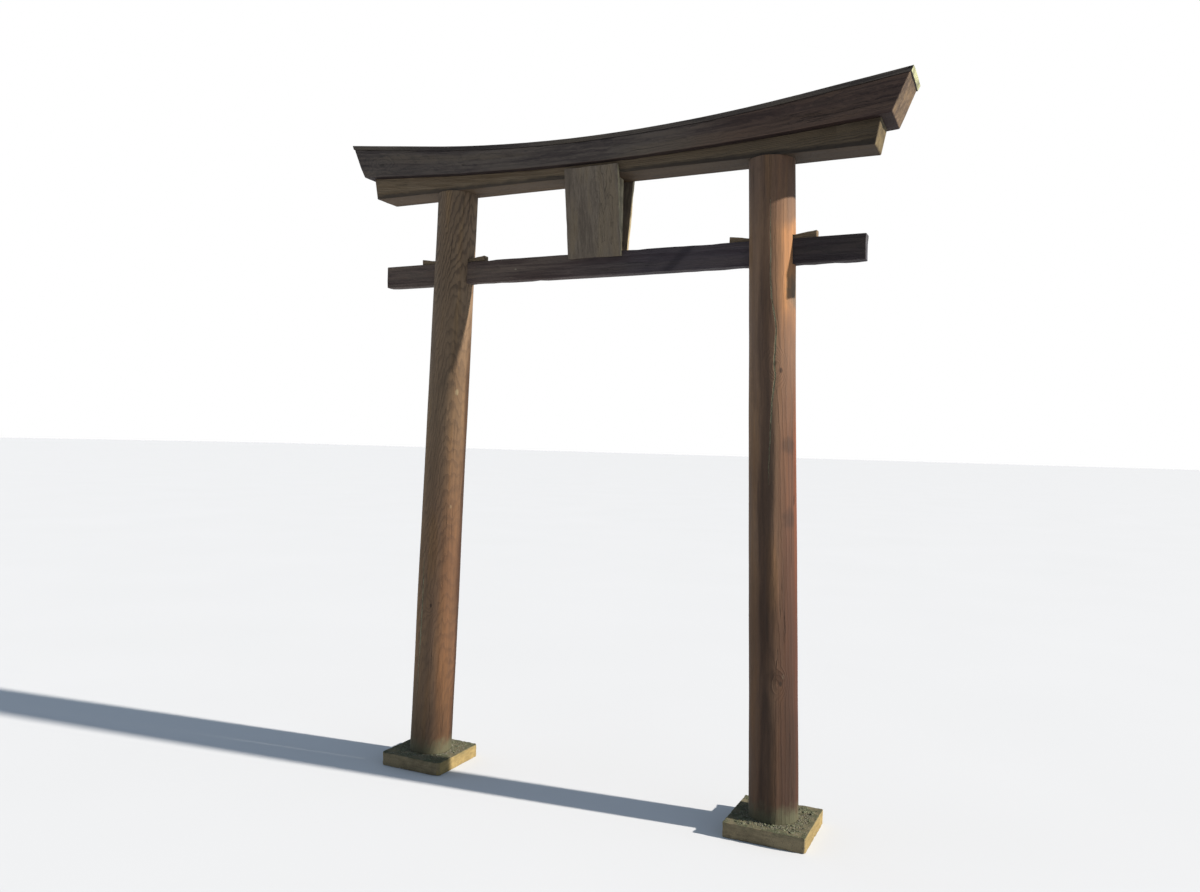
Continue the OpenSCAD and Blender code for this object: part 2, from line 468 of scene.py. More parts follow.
def facing(axis, low, high, tone, patchy=0.0):
    """Takes the colour to a multiple of itself on the faces that point one way along an axis."""

    def change(paint, colour):
        way = paint.parts(paint.facing())[axis]
        if axis == 0:
            way = way.distance_from(0.0)
        patch = 1.0 - patchy * paint.step(paint.noise(paint.place, 22.0, 4.0, 0.6), 0.40, 0.62)
        return paint.blend(paint.step(way, low, high), colour, paint.shade(paint.times(colour, tone), patch))

    return change


# Lighter end grain on the faces that point along X, the ends of a beam; on an upright board these faces are
# its sides, and the lighter tone there is painted light.
def end_grain_and_painted_sides(tone):
    return facing(0, 0.5, 0.8, tone, 0.35)


# Painted shade: darkens the faces that look down.
def painted_underside_shade(tone):
    return facing(2, -0.5, -0.8, tone)


def on_top(colour_there, strength):
    """Weathers what faces the sky."""

    def change(paint, colour):
        up = paint.parts(paint.facing())[2]
        patch = 0.5 + paint.step(paint.noise(paint.place, 13.0, 4.0, 0.6), 0.35, 0.65) * 0.5
        return paint.blend(paint.step(up, 0.5, 0.85) * patch * strength, colour, colour_there)

    return change


def bloom(start, end, colour_there, strength):
    """Green and grit that creep up from a foot."""

    def change(paint, colour):
        height = paint.parts(paint.place)[2] + (paint.noise(paint.place, 26.0, 4.0, 0.65) - 0.5) * 0.10
        return paint.blend(paint.step(height, start, end) * strength, colour, colour_there)

    return change


def inside_checks(foot, head):
    """Inside a post's checks: bloomed near the lips, and painted shade in the depth and in the slot."""
    shape = bpy.context.scene.gate_shape

    def change(paint, colour):
        x, y, z = paint.parts(paint.place)
        up = (z - foot.z) / (head.z - foot.z)
        x = x - foot.x - up * (head.x - foot.x)
        around = paint.add("ShaderNodeCombineXYZ", None, {0: x, 1: y, 2: 0.0})
        depth = shape.foot_d / 2 - up * ((shape.foot_d - shape.head_d) / 2)
        depth = depth - paint.size(around)
        patch = 0.55 + paint.step(paint.noise(paint.place, 40.0, 3.0), 0.35, 0.60) * 0.45
        colour = paint.blend(paint.attribute("cut") * patch, colour, bpy.context.scene.gate_colours.lichen)
        # Painted shade: near black where a check or the slot runs deep.
        return paint.blend(paint.step(depth, 0.0095, 0.0130), colour, (0.020, 0.015, 0.011))

    return change


def select_only(thing):
    bpy.ops.object.select_all(action="DESELECT")
    thing.select_set(True)
    bpy.context.view_layer.objects.active = thing


def begin_edit(thing, kind="VERT"):
    select_only(thing)
    bpy.ops.object.mode_set(mode="EDIT")
    bpy.ops.mesh.select_mode(type=kind)
    bpy.ops.mesh.select_all(action="SELECT")


def end_edit():
    bpy.ops.object.mode_set(mode="OBJECT")


def pick(thing, kind, test):
    """Selects the vertices, edges or faces that pass a test, in edit mode."""
    bpy.ops.mesh.select_all(action="DESELECT")
    mesh = bmesh.from_edit_mesh(thing.data)
    for item in getattr(mesh, kind):
        if test(item):
            item.select_set(True)
    mesh.select_flush_mode()
    bmesh.update_edit_mesh(thing.data)


def modify(thing, kind, **settings):
    """Adds a modifier, sets it up and applies it."""
    select_only(thing)
    modifier = thing.modifiers.new(kind.title(), kind)
    for key, value in settings.items():
        setattr(modifier, key, value)
    bpy.ops.object.modifier_apply(modifier=modifier.name)


def copy_of(node, name):
    """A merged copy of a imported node, with its flat faces whole again."""
    thing = bpy.data.objects.new(name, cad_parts[node].data.copy())
    bpy.context.scene.collection.objects.link(thing)
    thing.data.materials.clear()
    begin_edit(thing)
    bpy.ops.mesh.remove_doubles(threshold=0.00001)
    bpy.ops.mesh.dissolve_limited(angle_limit=math.radians(0.05))
    end_edit()
    return thing


def cut_across(thing, pitch, axes):
    """Bisects a piece with planes across some axes, so that it can take a fine wave."""
    low = Vector(tuple(min(v.co[i] for v in thing.data.vertices) for i in range(3)))
    high = Vector(tuple(max(v.co[i] for v in thing.data.vertices) for i in range(3)))
    begin_edit(thing)
    for axis in axes:
        count = int((high[axis] - low[axis]) / pitch)
        normal = Vector((0, 0, 0))
        normal[axis] = 1.0
        for i in range(1, count + 1):
            point = low.copy()
            point[axis] += (high[axis] - low[axis]) * i / (count + 1)
            bpy.ops.mesh.select_all(action="SELECT")
            bpy.ops.mesh.bisect(plane_co=point, plane_no=normal)
    end_edit()


def wear(thing, wave, size, long_axis, seed, level=0.5):
    """Makes a surface slightly uneven, with waves drawn out along one axis; level 1 only takes away."""
    texture = bpy.data.textures.new("Wear", "CLOUDS")
    texture.noise_scale = size
    texture.noise_depth = 2
    bpy.ops.object.empty_add(location=(seed * 3.1, seed * 1.7, seed * 0.9))
    guide = bpy.context.object
    guide.scale = tuple(7.0 if i == long_axis else 1.0 for i in range(3))
    bpy.context.view_layer.update()
    modify(
        thing, "DISPLACE", texture=texture, texture_coords="OBJECT", texture_coords_object=guide,
        strength=wave * 2, mid_level=level,
    )
    bpy.data.objects.remove(guide)
    bpy.data.textures.remove(texture)


def finish(thing, material, nodes=(), angle=14.0):
    """Applies the place, smooths the shading and hands the piece to the frame."""
    select_only(thing)
    bpy.ops.object.transform_apply(location=True, rotation=True, scale=True)
    bpy.ops.object.shade_smooth_by_angle(angle=math.radians(angle))
    thing.data.materials.clear()
    thing.data.materials.append(material)
    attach(thing, BODY)
    if nodes:
        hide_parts(*nodes)


def nick(thing, depth, size, seed):
    """Knocks small pieces out of the worn arrises."""
    mesh = bmesh.new()
    mesh.from_mesh(thing.data)
    layer = mesh.verts.layers.float["arris"]
    for v in mesh.verts:
        knock = noise.noise(v.co / size + Vector((seed * 7.3, 0.0, seed * 2.9))) - 0.12
        if v[layer] > 0.5 and knock > 0:
            v.co -= v.normal * min(depth, knock * depth * 4)
    mesh.to_mesh(thing.data)
    mesh.free()


def beam(node, name, material, arris, wave, seed, knocks, pitch=0.045, level=0.5, axes=(0, 1, 2)):
    """A planed beam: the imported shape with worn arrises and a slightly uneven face.

    A curved beam isn't cut across Z, because the cuts would meet its curves in slivers.
    """
    thing = copy_of(node, name)
    begin_edit(thing, "EDGE")
    pick(thing, "edges", lambda e: len(e.link_faces) == 2 and e.calc_face_angle() > math.radians(25))
    bpy.ops.mesh.bevel(offset=arris, offset_type="OFFSET", segments=2, profile=0.5, affect="EDGES")
    mesh = bmesh.from_edit_mesh(thing.data)
    layer = mesh.verts.layers.float.new("arris")
    for v in mesh.verts:
        v[layer] = 1.0 if all(f.select for f in v.link_faces) else 0.0
    bmesh.update_edit_mesh(thing.data)
    end_edit()
    cut_across(thing, pitch, axes)
    nick(thing, knocks, pitch * 1.5, seed)
    wear(thing, wave, 0.05, 0, seed, level)
    finish(thing, material, (node,))


def post_line(node):
    """The middle of a post's foot and head."""
    shape = bpy.context.scene.gate_shape
    low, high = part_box(node)
    side = 1.0 if low.x + high.x > 0 else -1.0
    outer, inner = (high.x, low.x) if side > 0 else (low.x, high.x)
    pad_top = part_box(PADS[0])[1].z
    foot = Vector((outer - side * shape.foot_d / 2, 0.0, pad_top))
    head_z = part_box("lower_lintel")[0].z
    head = Vector((inner + side * shape.head_d / 2, 0.0, head_z))
    return foot, head


def turn_at(path, z):
    """The bearing of a check at a height, between the points of its path."""
    for (z0, b0), (z1, b1) in zip(path, path[1:]):
        if z0 <= z <= z1:
            return b0 + (b1 - b0) * (z - z0) / (z1 - z0)
    return path[0][1] if z < path[0][0] else path[-1][1]


def check_blade(foot, head, path, depth, seed):
    """A thin wavering blade set to a depth in a post along a path of (height, bearing from the front)."""
    shape = bpy.context.scene.gate_shape
    low, high = path[0][0], path[-1][0]
    cuts = int((high - low) / BLADE_PITCH)
    bpy.ops.object.select_all(action="DESELECT")
    bpy.ops.mesh.primitive_cube_add(size=1.0, location=(0, 0, 0))
    blade = bpy.context.object
    begin_edit(blade, "EDGE")
    pick(blade, "edges", lambda e: abs(e.verts[0].co.z - e.verts[1].co.z) > 0.5)
    bpy.ops.mesh.subdivide(number_cuts=cuts)
    mesh = bmesh.from_edit_mesh(blade.data)
    for v in mesh.verts:
        t = v.co.z + 0.5
        z = low + (high - low) * t
        up = (z - foot.z) / (head.z - foot.z)
        radius = (shape.foot_d + (shape.head_d - shape.foot_d) * up) / 2
        gape = max(0.12, math.sin(math.pi * t)) ** 0.5
        bearing = math.radians(turn_at(path, z)) + 0.02 * noise.noise(Vector((seed, 0.0, z * 11)))
        bearing += 0.012 * noise.noise(Vector((seed, 3.0, z * 37)))
        outward = Vector((math.sin(bearing), -math.cos(bearing), 0.0))
        sideways = Vector((-outward.y, outward.x, 0.0))
        reach = radius + BLADE_OUT if v.co.y < 0 else radius - depth * gape
        spread = shape.check_width * gape * (v.co.x if v.co.y < 0 else v.co.x * 0.25)
        v.co = foot.lerp(head, up) + outward * reach + sideways * spread
    bmesh.update_edit_mesh(blade.data)
    end_edit()
    mark(blade, "cut", 1.0)
    return blade


def mark(thing, name, value):
    """Gives every face of a piece the same value of an attribute."""
    layer = thing.data.attributes.new(name, "FLOAT", "FACE")
    for each in layer.data:
        each.value = value


def cut_out(thing, cutter):
    modify(thing, "BOOLEAN", object=cutter, operation="DIFFERENCE", solver="EXACT")
    bpy.data.objects.remove(cutter)


# Paths of the drying checks, as (height in metres, bearing in degrees from the front to the right).
# The first one on each post is filled and the others are open.
CHECKS = {
    "post_left": (
        ((0.35, -18), (0.80, -13), (1.10, -16)),
        ((0.60, 176), (1.20, 184), (1.95, 178)),
    ),
    "post_right": (
        (
            (1.50, 5), (1.65, 7), (1.86, 14), (1.97, 22), (2.02, 18), (2.16, 25), (2.29, 14), (2.37, 11),
            (2.72, 11),
        ),
        ((0.70, 190), (1.40, 182), (2.10, 188)),
    ),
}


def build_post(node, name, material, seed):
    shape = bpy.context.scene.gate_shape
    foot, head = post_line(node)
    height = head.z - foot.z
    bpy.ops.object.select_all(action="DESELECT")
    bpy.ops.mesh.primitive_cylinder_add(
        vertices=shape.post_sides, radius=shape.foot_d / 2, depth=height,
        location=foot + Vector((0, 0, height / 2)),
    )
    post = bpy.context.object
    post.name = name
    post.data.name = name
    begin_edit(post, "VERT")
    pick(post, "verts", lambda v: v.co.z > 0)
    ratio = shape.head_d / shape.foot_d
    bpy.ops.transform.resize(value=(ratio, ratio, 1.0))
    bpy.ops.transform.translate(value=(head.x - foot.x, 0.0, 0.0))
    bpy.ops.mesh.select_mode(type="EDGE")
    pick(post, "edges", lambda e: abs(e.verts[0].co.z - e.verts[1].co.z) > height / 2)
    bpy.ops.mesh.subdivide(number_cuts=shape.post_rings)
    end_edit()
    select_only(post)
    bpy.ops.object.transform_apply(location=True, rotation=True, scale=True)
    wear(post, shape.log_wave, 0.11, 2, seed)
    mark(post, "cut", 0.0)
    tie_low, tie_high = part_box("tie_beam")
    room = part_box("wedge_right_outer")[0].z
    slot_top = room + SLOT_ROOM
    bpy.ops.mesh.primitive_cube_add(size=1.0, location=(foot.x, 0.0, (tie_low.z + slot_top) / 2))
    slot = bpy.context.object
    slot.scale = (SLOT_LENGTH, tie_high.y - tie_low.y, slot_top - tie_low.z)
    bpy.ops.object.transform_apply(location=True, rotation=True, scale=True)
    cut_out(post, slot)
    for i, path in enumerate(CHECKS[node]):
        depth = shape.check_depth if i else shape.filled_depth
        cut_out(post, check_blade(foot, head, path, depth, seed * 10 + i))
    finish(post, material, (node,), 42.0)


def on_log(node, height, bearing):
    """A place on a post's face, at a height and a bearing in degrees from the front."""
    shape = bpy.context.scene.gate_shape
    foot, head = post_line(node)
    up = (height - foot.z) / (head.z - foot.z)
    radius = (shape.foot_d + (shape.head_d - shape.foot_d) * up) / 2
    bearing = math.radians(bearing)
    return tuple(foot.lerp(head, up) + Vector((math.sin(bearing), -math.cos(bearing), 0.0)) * radius)


# Knots and pale chips in the posts: (height, bearing, size).
KNOTS = {
    "post_left": ((0.82, 15, 0.011), (1.20, 200, 0.016)),
    "post_right": ((2.02, 20, 0.014), (1.99, 35, 0.013), (0.66, 32, 0.012), (1.30, 170, 0.016)),
}
CHIPS = {
    "post_left": ((1.90, 59, 0.012), (1.32, 57, 0.007)),
    "post_right": ((0.69, 38, 0.008),),
}


# How the rings of each post run and show, as settings of its timber.
FIGURE = {
    "post_left": {
        "figure": 0.020, "stretch": 0.20, "ragged": 0.0022, "arch": (math.radians(35), -0.02, 0.05, 0.13),
        "bold": 0.50, "vivid": (2, 2.20, 2.45),
    },
    "post_right": {"figure": 0.008, "stretch": 0.06, "ragged": 0.0010, "bold": 0.34},
}


# Tones of the left post, most of them painted light and shade on its lit and shaded sides.
def left_post_painted_light_and_tones():
    return [
        # Painted shade: the side that faces the key light is darkened below about 2.2 m, more towards the
        # foot.
        painted_light_on_side(92, 30, 68, 2.4, 2.0, (0.68, 0.63, 0.57)),
        painted_light_on_side(92, 30, 68, 1.9, 0.9, (0.90, 0.82, 0.76)),
        # Painted shade along the far right edge of the lit side, below about 2 m.
        painted_light_on_side(118, 12, 34, 2.4, 1.9, (0.38, 0.31, 0.27)),
        # Painted light: the left side is lightened, as if lit from the left, most towards the foot.
        painted_light_on_side(-40, 20, 60, 2.3, 0.2, (1.18, 1.22, 1.12)),
        fade(2, 1.9, 1.1, (0.92, 0.82, 0.80), 0.5),
        fade(2, 0.6, 0.15, (0.66, 0.68, 0.70), 0.3),
    ]


# Tones of the right post, most of them painted light and shade on its lit and shaded sides.
def right_post_painted_light_and_tones():
    node = "post_right"
    return [
        # Painted shadows of twigs: two soft dark spots on the lit side.
        stain_and_shadow(on_log(node, 1.67, 58), (0.05, 0.05, 0.05), (0.55, 0.60, 0.68)),
        stain_and_shadow(on_log(node, 1.36, 58), (0.05, 0.05, 0.06), (0.55, 0.60, 0.68)),
        stain_and_shadow(on_log(node, 0.69, 24), (0.05, 0.05, 0.04), (0.55, 0.50, 0.48)),
        # Painted shade: a dark band down the front, just on the shaded side of where the key light grazes.
        painted_light_on_side(0, 4, 24, 2.6, 2.3, (0.62, 0.62, 0.66)),
        painted_light_on_side(0, 4, 24, 1.9, 1.3, (0.76, 0.74, 0.74)),
        # Painted light: a hot, warm band high on the lit side, over the tie beam.
        painted_light_on_side(85, 20, 75, 2.05, 2.4, (1.80, 1.50, 1.10)),
        # Painted shade: greyer where the tie beam's shadow falls on the post.
        stain_and_shadow(on_log(node, 2.33, 92), (0.06, 0.10, 0.10), (0.40, 0.62, 0.95)),
        # Painted shade on the lit side above 2.7 m, where the lintel's shadow lies.
        painted_light_on_side(85, 20, 75, 2.62, 2.70, (0.56, 0.64, 0.86)),
        # Painted shade: the lit side is darkened step by step towards the foot.
        painted_light_on_side(85, 20, 75, 2.35, 2.1, (0.84, 0.78, 0.80)),
        painted_light_on_side(85, 20, 75, 2.1, 1.6, (0.61, 0.51, 0.49)),
        painted_light_on_side(85, 20, 75, 1.6, 1.1, (0.86, 0.82, 0.84)),
        # Painted light: a warmer, redder strip along the edge of the lit side.
        painted_light_on_side(102, 12, 34, 2.0, 1.6, (1.50, 0.98, 0.66)),
        # Painted shade: the lit side darker still near the foot.
        painted_light_on_side(85, 20, 75, 1.0, 0.3, (0.49, 0.53, 0.57)),
        # Painted light: the left side is lightened and cooled high up, as if lit by a pale sky.
        painted_light_on_side(-60, 25, 60, 1.5, 2.2, (1.15, 1.22, 1.30)),
        fade(2, 1.3, 0.9, (0.70, 0.66, 0.65), 0.3),
        # Painted shade: darker and cooler at the head of the post, under the lintel.
        fade(2, 2.60, 2.80, (0.76, 0.78, 0.84), 0.2),
    ]


class GATE_OT_posts(Operator):
    """Round posts with their slots, drying checks, knots and flame figure"""

    bl_idname = "gate.posts"
    bl_label = "Posts"

    def execute(self, context):
        moss = tuple(context.scene.gate_colours.moss)
        for seed, (node, tones) in enumerate(zip(POSTS, (left_post_painted_light_and_tones, right_post_painted_light_and_tones)), 1):
            foot, head = post_line(node)
            lean = math.atan2(head.x - foot.x, head.z - foot.z)
            material = timber(
                f"{node}_wood",
                pith=(foot.x + 0.012, 0.010, foot.z),
                turn=(0.0, -lean, 0.0),
                wood=node.removeprefix("post_"),
                ring=0.0036,
                splits=0.5,
                knots=[(on_log(node, z, b), size) for z, b, size in KNOTS[node]],
                chips=[(on_log(node, z, b), size) for z, b, size in CHIPS[node]],
                grey=0.25,
                more=[
                    *tones(),
                    inside_checks(foot, head),
                    bloom(foot.z + 0.10, foot.z + 0.01, moss, 0.7),
                ],
                **FIGURE[node],
            )
            build_post(node, f"{node}_log", material, seed)
        return {"FINISHED"}


class GATE_OT_beams(Operator):
    """The tie beam, its wedges and the two lintels"""

    bl_idname = "gate.beams"
    bl_label = "Beams and wedges"

    def execute(self, context):
        shape = context.scene.gate_shape
        colours = context.scene.gate_colours
        low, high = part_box("lower_lintel")
        lintel = timber(
            "lower_lintel_wood", (0.0, 0.03, low.z - 0.05), ALONG_X, "lintel", ring=0.0050, figure=0.020,
            stretch=0.10, bow=0.03, knots=[((1.12, low.y, low.z + 0.10), 0.012)],
            more=[
                drip_line("lower_lintel", 0.026),
                fade(0, -0.7, 1.0, (0.52, 0.53, 0.55), 0.4),
                end_grain_and_painted_sides((1.45, 1.55, 1.24)),
                # Painted shade under the beam.
                painted_underside_shade((0.78, 0.72, 0.68)),
            ],
        )
        beam("lower_lintel", "lower_lintel_beam", lintel, shape.arris, shape.beam_wave,
             seed=3, knocks=shape.nick, axes=(0, 1))
        low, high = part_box("upper_lintel")
        top = timber(
            "upper_lintel_wood", (0.0, 0.05, (low.z + high.z) / 2 - 0.05), ALONG_X, "brown", ring=0.0046,
            figure=0.028, stretch=0.13, bow=0.042, ragged=0.004, stain=0.15, grey=0.15,
            knots=[((-1.22, low.y, high.z - 0.10), 0.014)],
            vivid=(0, -0.75, -1.05),
            more=[
                fade(0, 0.2, 0.8, (0.86, 0.68, 0.62), 0.6),
                end_grain_and_painted_sides((1.8, 2.0, 1.65)),
                # Painted shade under the beam.
                painted_underside_shade((0.60, 0.50, 0.50)),
                on_top(colours.grey, 0.7),
            ],
        )
        beam("upper_lintel", "upper_lintel_beam", top, shape.arris, shape.beam_wave,
             seed=4, knocks=shape.nick, axes=(0, 1))
        low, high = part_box("tie_beam")
        middle = (low.z + high.z) / 2
        tie = timber(
            "tie_beam_wood", (0.0, 0.05, middle), ALONG_X, "tie", ring=0.0045, figure=0.020, stretch=0.12,
            stain=0.5, grey=0.1, chips=[((-0.45, low.y, middle), 0.004)],
            more=[
                fade(0, -0.4, 0.3, (0.55, 0.60, 0.84), 0.4),
                slanting_streaks(0.22, 0.58, 0.46, 0.66, (0.50, 0.50, 0.55)),
                fade(0, 0.75, 1.0, (0.66, 0.64, 0.58), 0.2),
                end_grain_and_painted_sides((1.4, 1.9, 2.4)),
                on_top(colours.grey, 0.5),
            ],
        )
        beam("tie_beam", "tie_beam_bar", tie, shape.arris, shape.beam_wave, seed=5,
             knocks=shape.nick)
        for i, place in enumerate(("left_outer", "left_inner", "right_inner", "right_outer")):
            node = f"wedge_{place}"
            low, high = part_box(node)
            wood = timber(
                f"{node}_wood", (0.0, 0.05, low.z - 0.02), ALONG_X, "lintel", ring=0.0035, figure=0.010,
                stretch=0.2,
            )
            beam(node, f"{node}_block", wood, shape.wedge_arris, shape.wedge_wave,
                 seed=6 + i, knocks=shape.wedge_nick, pitch=0.02)
        return {"FINISHED"}


class GATE_OT_boards(Operator):
    """The cap board, the tablets and the strut between them"""

    bl_idname = "gate.boards"
    bl_label = "Boards"

    def execute(self, context):
        shape = context.scene.gate_shape
        low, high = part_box("cap_board")
        cap = timber(
            "cap_board_wood", (0.0, 0.02, low.z - 0.2), ALONG_X, "cap", stretch=0.1, bow=0.055, grey=0.2,
            more=[end_grain_and_painted_sides((5.0, 6.4, 4.6)), on_top(context.scene.gate_colours.grey, 0.9)],
        )
        beam("cap_board", "cap_board_plank", cap, shape.board_arris, shape.board_wave,
             seed=11, knocks=shape.nick * 0.5, level=1.0, axes=(0, 1))
        for i, node in enumerate(("tablet_strut", *TABLETS)):
            low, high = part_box(node)
            wood = timber(
                f"{node}_wood", ((low.x + high.x) / 2 + 0.03 * i, -0.13 + 0.1 * i, low.z), UPRIGHT, "board",
                ring=0.0045, figure=0.016, stretch=0.08, grey=0.2, stain=0.15, bold=0.6, splits=0.2,
                # On the boards this lightens their sides as painted light.
                more=[end_grain_and_painted_sides((1.9, 2.1, 1.9))],
            )
            beam(node, f"{node}_board", wood, shape.board_arris, shape.board_wave,
                 seed=12 + i, knocks=shape.nick * 0.6, pitch=0.04)
        return {"FINISHED"}


def stone_material(name, front):
    """Rough stone with a mossy top; front multiplies the colour of the side that faces the front, as painted
    cool shade.
    """
    colours = bpy.context.scene.gate_colours
    stone = tuple(colours.stone)
    paint = Paint(name)
    z = paint.parts(paint.place)[2]
    layered = paint.times(paint.place, (1.0, 1.0, 9.0))
    streak = paint.noise(layered, 11.0, 4.0, 0.6)
    cloud = paint.noise(paint.place, 9.0, 4.0, 0.6)
    speck = paint.noise(paint.place, 260.0, 3.0, 0.7)
    pits = paint.step(paint.cells(paint.place, 95.0), 0.22, 0.10)
    colour = paint.blend(paint.step(streak, 0.35, 0.7) * 0.55, stone, tuple(c * 0.55 for c in stone))
    colour = paint.blend(paint.step(cloud, 0.45, 0.75) * 0.5, colour, tuple(c * 1.35 for c in stone))
    colour = paint.blend(paint.step(speck, 0.40, 0.72) * 0.6, colour, tuple(c * 0.5 for c in stone))
    colour = paint.blend(pits * 0.5, colour, (0.05, 0.045, 0.035))
    back, up = paint.parts(paint.facing())[1:]
    # Painted shade: the faces towards the front take a cooler tone.
    colour = paint.toned(paint.step(back, -0.5, -0.8), colour, front)
    edge = paint.attribute("arris")
    colour = paint.blend(edge * paint.step(cloud, 0.40, 0.60) * 0.6, colour, paint.shade(colour, 1.35))
    soil = paint.shade(colours.soil, 0.7 + speck * 0.6)
    colour = paint.blend(paint.step(up, 0.4, 0.8) * 0.85, colour, soil)
    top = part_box(PADS[0])[1].z
    near_top = paint.step(z + (paint.noise(paint.place, 30.0, 3.0) - 0.5) * 0.04, top - 0.030, top - 0.002)
    growth = paint.step(paint.noise(paint.place, 26.0, 5.0, 0.65), 0.40, 0.62)
    mossy = (paint.step(up, 0.4, 0.8) * 0.85 + near_top * 0.35).least(1.0) * growth
    green = paint.blend(speck, tuple(c * 0.55 for c in colours.moss), tuple(c * 1.5 for c in colours.moss))
    colour = paint.blend(mossy, colour, green)
    paint.feed(paint.shader.inputs["Base Color"], colour)
    paint.feed(paint.shader.inputs["Roughness"], 0.86 + speck * 0.12)
    paint.shader.inputs["Specular IOR Level"].default_value = 0.2
    paint.bumps(
        (cloud * 0.4 + streak * 0.6, 0.002), (speck, 0.0012), (1.0 - pits, 0.002), (mossy * speck, 0.003)
    )
    return paint.material


def crumb_material(name, tone, other):
    paint = Paint(name)
    grain = paint.noise(paint.place, 700.0, 2.0, 0.6)
    patch = paint.noise(paint.place, 90.0, 3.0, 0.7)
    colour = paint.blend(paint.step(patch, 0.38, 0.60), tone, other)
    colour = paint.shade(colour, 0.6 + grain * 0.8)
    paint.feed(paint.shader.inputs["Base Color"], colour)
    paint.feed(paint.shader.inputs["Roughness"], 0.85 + grain * 0.1)
    paint.bumps((grain, 0.0010))
    return paint.material


def join_as(name, things):
    bpy.ops.object.select_all(action="DESELECT")
    for thing in things:
        thing.select_set(True)
    bpy.context.view_layer.objects.active = things[0]
    bpy.ops.object.join()
    things[0].name = name
    things[0].data.name = name
    return things[0]


def lumps(name, count, sizes, squash, place, seed):
    """Small rough lumps, scattered by a function that gives each one's place."""
    rng = random.Random(seed)
    made = []
    for i in range(count):
        size = rng.uniform(*sizes) * rng.uniform(0.7, 1.0)
        point = place(rng)
        if i < 6:
            bpy.ops.mesh.primitive_ico_sphere_add(subdivisions=1, radius=1.0)
            source = bpy.context.object
            begin_edit(source)
            bpy.ops.transform.vertex_random(offset=0.22, seed=seed + i, normal=0.0)
            end_edit()
            made.append(source)
            lump = source
        else:
            lump = made[i % 6].copy()
            lump.data = made[i % 6].data.copy()
            bpy.context.scene.collection.objects.link(lump)
            made.append(lump)
        lump.location = point
        lump.rotation_euler = (rng.uniform(-0.3, 0.3), rng.uniform(-0.3, 0.3), rng.uniform(0, 6.3))
        lump.scale = (size * rng.uniform(0.7, 1.1), size * rng.uniform(0.7, 1.1), size * squash)
    return join_as(name, made)


class GATE_OT_pads(Operator):
    """Square stone pads with worn edges, and the moss and grit that lie on them"""

    bl_idname = "gate.pads"
    bl_label = "Pads"

    def execute(self, context):
        shape = context.scene.gate_shape
        colours = context.scene.gate_colours
        grit = crumb_material("grit", tuple(colours.grit), tuple(c * 0.5 for c in colours.grit))
        moss = crumb_material("moss", tuple(c * 1.5 for c in colours.moss), tuple(colours.moss))
        for i, (node, post, corner) in enumerate(zip(PADS, POSTS, PAD_CORNERS)):
            stone = stone_material(f"{node}_stone", (0.89, 0.94, 1.30))
            worn = min(shape.pad_wear, corner * 0.6)
            beam(node, f"{node}_block", stone, worn, shape.pad_wave, seed=20 + i,
                 knocks=shape.pad_nick, pitch=0.012, level=1.0)
            low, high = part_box(node)
            middle = (low.x + high.x) / 2
            half = (high.x - low.x) / 2
            foot_x = post_line(post)[0].x

            def by_foot(spread, inset, middle=middle, half=half, foot_x=foot_x, top=high.z):
                """Scatters round the post's foot, thinner further out and clear of the pad's edge."""

                def place(rng):
                    while True:
                        x = rng.uniform(inset - half, half - inset)
                        y = rng.uniform(inset - half, half - inset)
                        near = math.hypot(x + middle - foot_x, y) - shape.foot_d / 2
                        if near > 0.001 and rng.random() < math.exp(-near / spread) + 0.10:
                            return Vector((middle + x, y, top - 0.001))

                return place

            crumbs = lumps(f"{node}_grit", shape.grit, GRIT_SIZES, 0.7, by_foot(0.025, 0.009), 31 + i)
            finish(crumbs, grit)
            tufts = lumps(f"{node}_moss", shape.moss, MOSS_SIZES, 0.18, by_foot(0.06, 0.024), 41 + i)
            finish(tufts, moss, angle=80.0)
        return {"FINISHED"}


def pale_world(stage):
    """White to the eye; as light it is cool and faint, and stronger from both sides."""
    world = bpy.data.worlds.new("pale")
    world.use_nodes = True
    tree = world.node_tree
    direction, split, sideways, level, backdrop, seen, mix = (
        tree.nodes.new(f"ShaderNode{kind}")
        for kind in ("TexCoord", "SeparateXYZ", "Math", "MapRange", "Background", "LightPath", "MixShader")
    )
    background = tree.nodes["Background"]
    background.inputs["Color"].default_value = (0.80, 0.90, 1.0, 1.0)
    backdrop.inputs["Color"].default_value = (1.0, 1.0, 1.0, 1.0)
    sideways.operation = "ABSOLUTE"
    level.interpolation_type = "SMOOTHSTEP"
    for key, value in ((1, 0.40), (2, 0.95), (3, stage.fill), (4, stage.side_fill)):
        level.inputs[key].default_value = value
    for start, end in (
        (direction.outputs["Generated"], split.inputs[0]),
        (split.outputs["X"], sideways.inputs[0]),
        (sideways.outputs[0], level.inputs[0]),
        (level.outputs[0], background.inputs["Strength"]),
        (seen.outputs["Is Camera Ray"], mix.inputs["Fac"]),
        (background.outputs[0], mix.inputs[1]),
        (backdrop.outputs[0], mix.inputs[2]),
        (mix.outputs[0], tree.nodes["World Output"].inputs["Surface"]),
    ):
        tree.links.new(start, end)
    return world


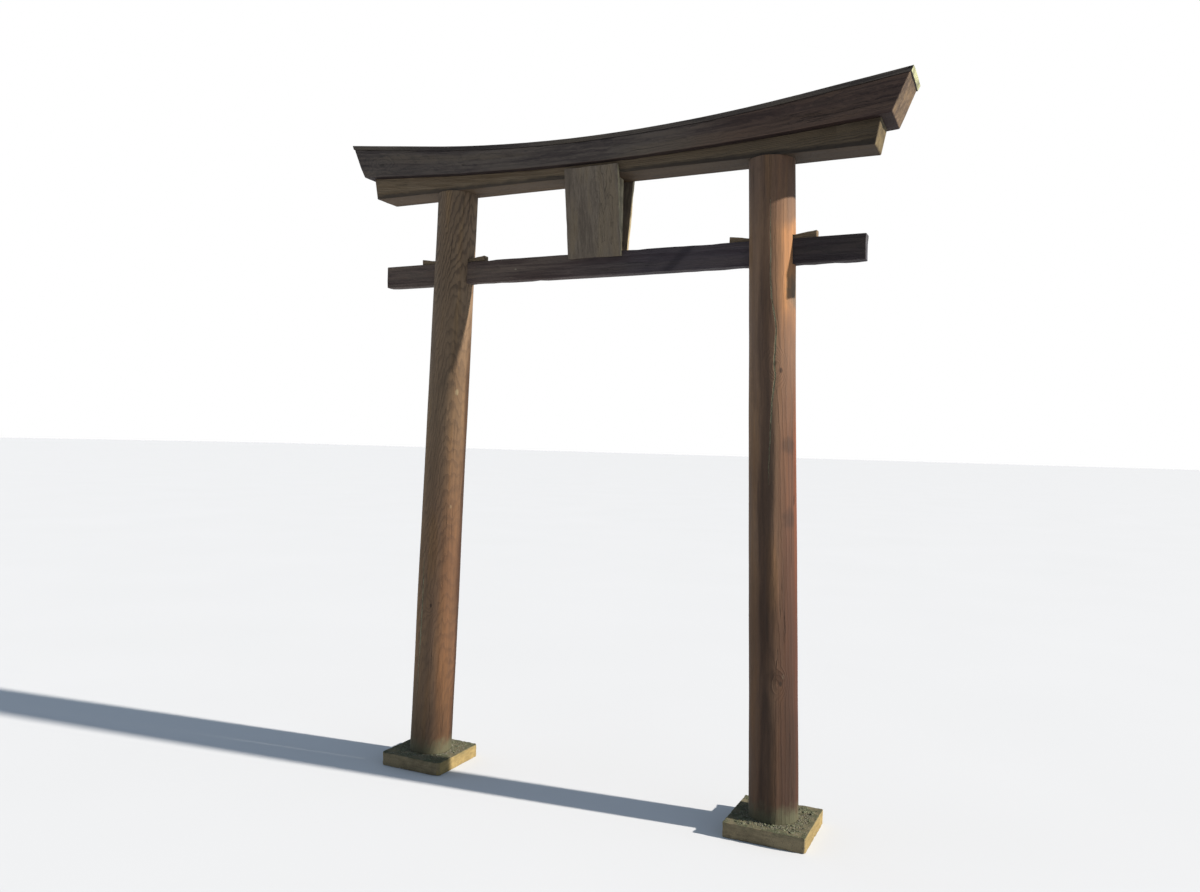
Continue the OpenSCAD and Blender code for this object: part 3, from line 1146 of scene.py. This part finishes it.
class GATE_OT_stage(Operator):
    """A pale floor, pale surroundings, one warm side light and the camera"""

    bl_idname = "gate.stage"
    bl_label = "Floor, lights and camera"

    def execute(self, context):
        stage = context.scene.gate_stage
        bpy.ops.object.select_all(action="DESELECT")
        bpy.ops.mesh.primitive_plane_add(size=stage.floor_size)
        floor = context.object
        floor.name = "floor"
        paint = Paint("floor_pale")
        tone = paint.noise(paint.place, 0.6, 2.0)
        paint.feed(paint.shader.inputs["Base Color"], paint.blend(tone, *FLOOR_TONES))
        paint.shader.inputs["Roughness"].default_value = 0.9
        paint.shader.inputs["Specular IOR Level"].default_value = 0.1
        floor.data.materials.append(paint.material)
        bpy.ops.object.light_add(type="SUN", location=(4.0, 1.2, 4.0))
        key = context.object
        key.name = "key"
        key.data.energy = stage.key
        key.data.angle = stage.key_softness
        key.data.color = (1.0, 0.86, 0.70)
        flat = math.cos(stage.key_height)
        way_x, way_y = math.cos(stage.key_heading), math.sin(stage.key_heading)
        toward = Vector((way_x * flat, way_y * flat, math.sin(stage.key_height)))
        key.rotation_euler = toward.to_track_quat("Z", "Y").to_euler()
        context.scene.world = pale_world(stage)
        bpy.ops.object.camera_add(location=stage.camera_place)
        camera = context.object
        camera.name = "camera"
        camera.data.lens = stage.lens
        camera.data.clip_end = 600.0
        turn = (
            Matrix.Rotation(stage.camera_heading, 3, "Z")
            @ Matrix.Rotation(math.pi / 2 + stage.camera_tilt, 3, "X")
            @ Matrix.Rotation(stage.camera_roll, 3, "Z")
        )
        camera.rotation_euler = turn.to_euler()
        context.scene.camera = camera
        context.scene.view_settings.view_transform = "Standard"
        return {"FINISHED"}


class GATE_PT_sidebar(Panel):
    """Lists the gate's pieces and sizes"""

    bl_label = "Shrine gate"
    bl_idname = "GATE_PT_sidebar"
    bl_space_type = "VIEW_3D"
    bl_region_type = "UI"
    bl_category = "Gate"

    def draw(self, context):
        for group in (context.scene.gate_shape, context.scene.gate_colours, context.scene.gate_stage):
            box = self.layout.box()
            for key in group.__annotations__:
                box.prop(group, key)
        for maker in MAKERS:
            self.layout.operator(maker.bl_idname)


MAKERS = (GATE_OT_stage, GATE_OT_posts, GATE_OT_beams, GATE_OT_boards, GATE_OT_pads)
CLASSES = (GateShape, GateColours, GateStage, *MAKERS, GATE_PT_sidebar)


def register():
    for each in CLASSES:
        bpy.utils.register_class(each)
    bpy.types.Scene.gate_shape = PointerProperty(type=GateShape)
    bpy.types.Scene.gate_colours = PointerProperty(type=GateColours)
    bpy.types.Scene.gate_stage = PointerProperty(type=GateStage)


def unregister():
    del bpy.types.Scene.gate_stage
    del bpy.types.Scene.gate_colours
    del bpy.types.Scene.gate_shape
    for each in reversed(CLASSES):
        bpy.utils.unregister_class(each)


def main():
    register()
    bpy.ops.gate.stage()
    bpy.ops.gate.posts()
    bpy.ops.gate.beams()
    bpy.ops.gate.boards()
    bpy.ops.gate.pads()


if __name__ == "__main__":
    main()
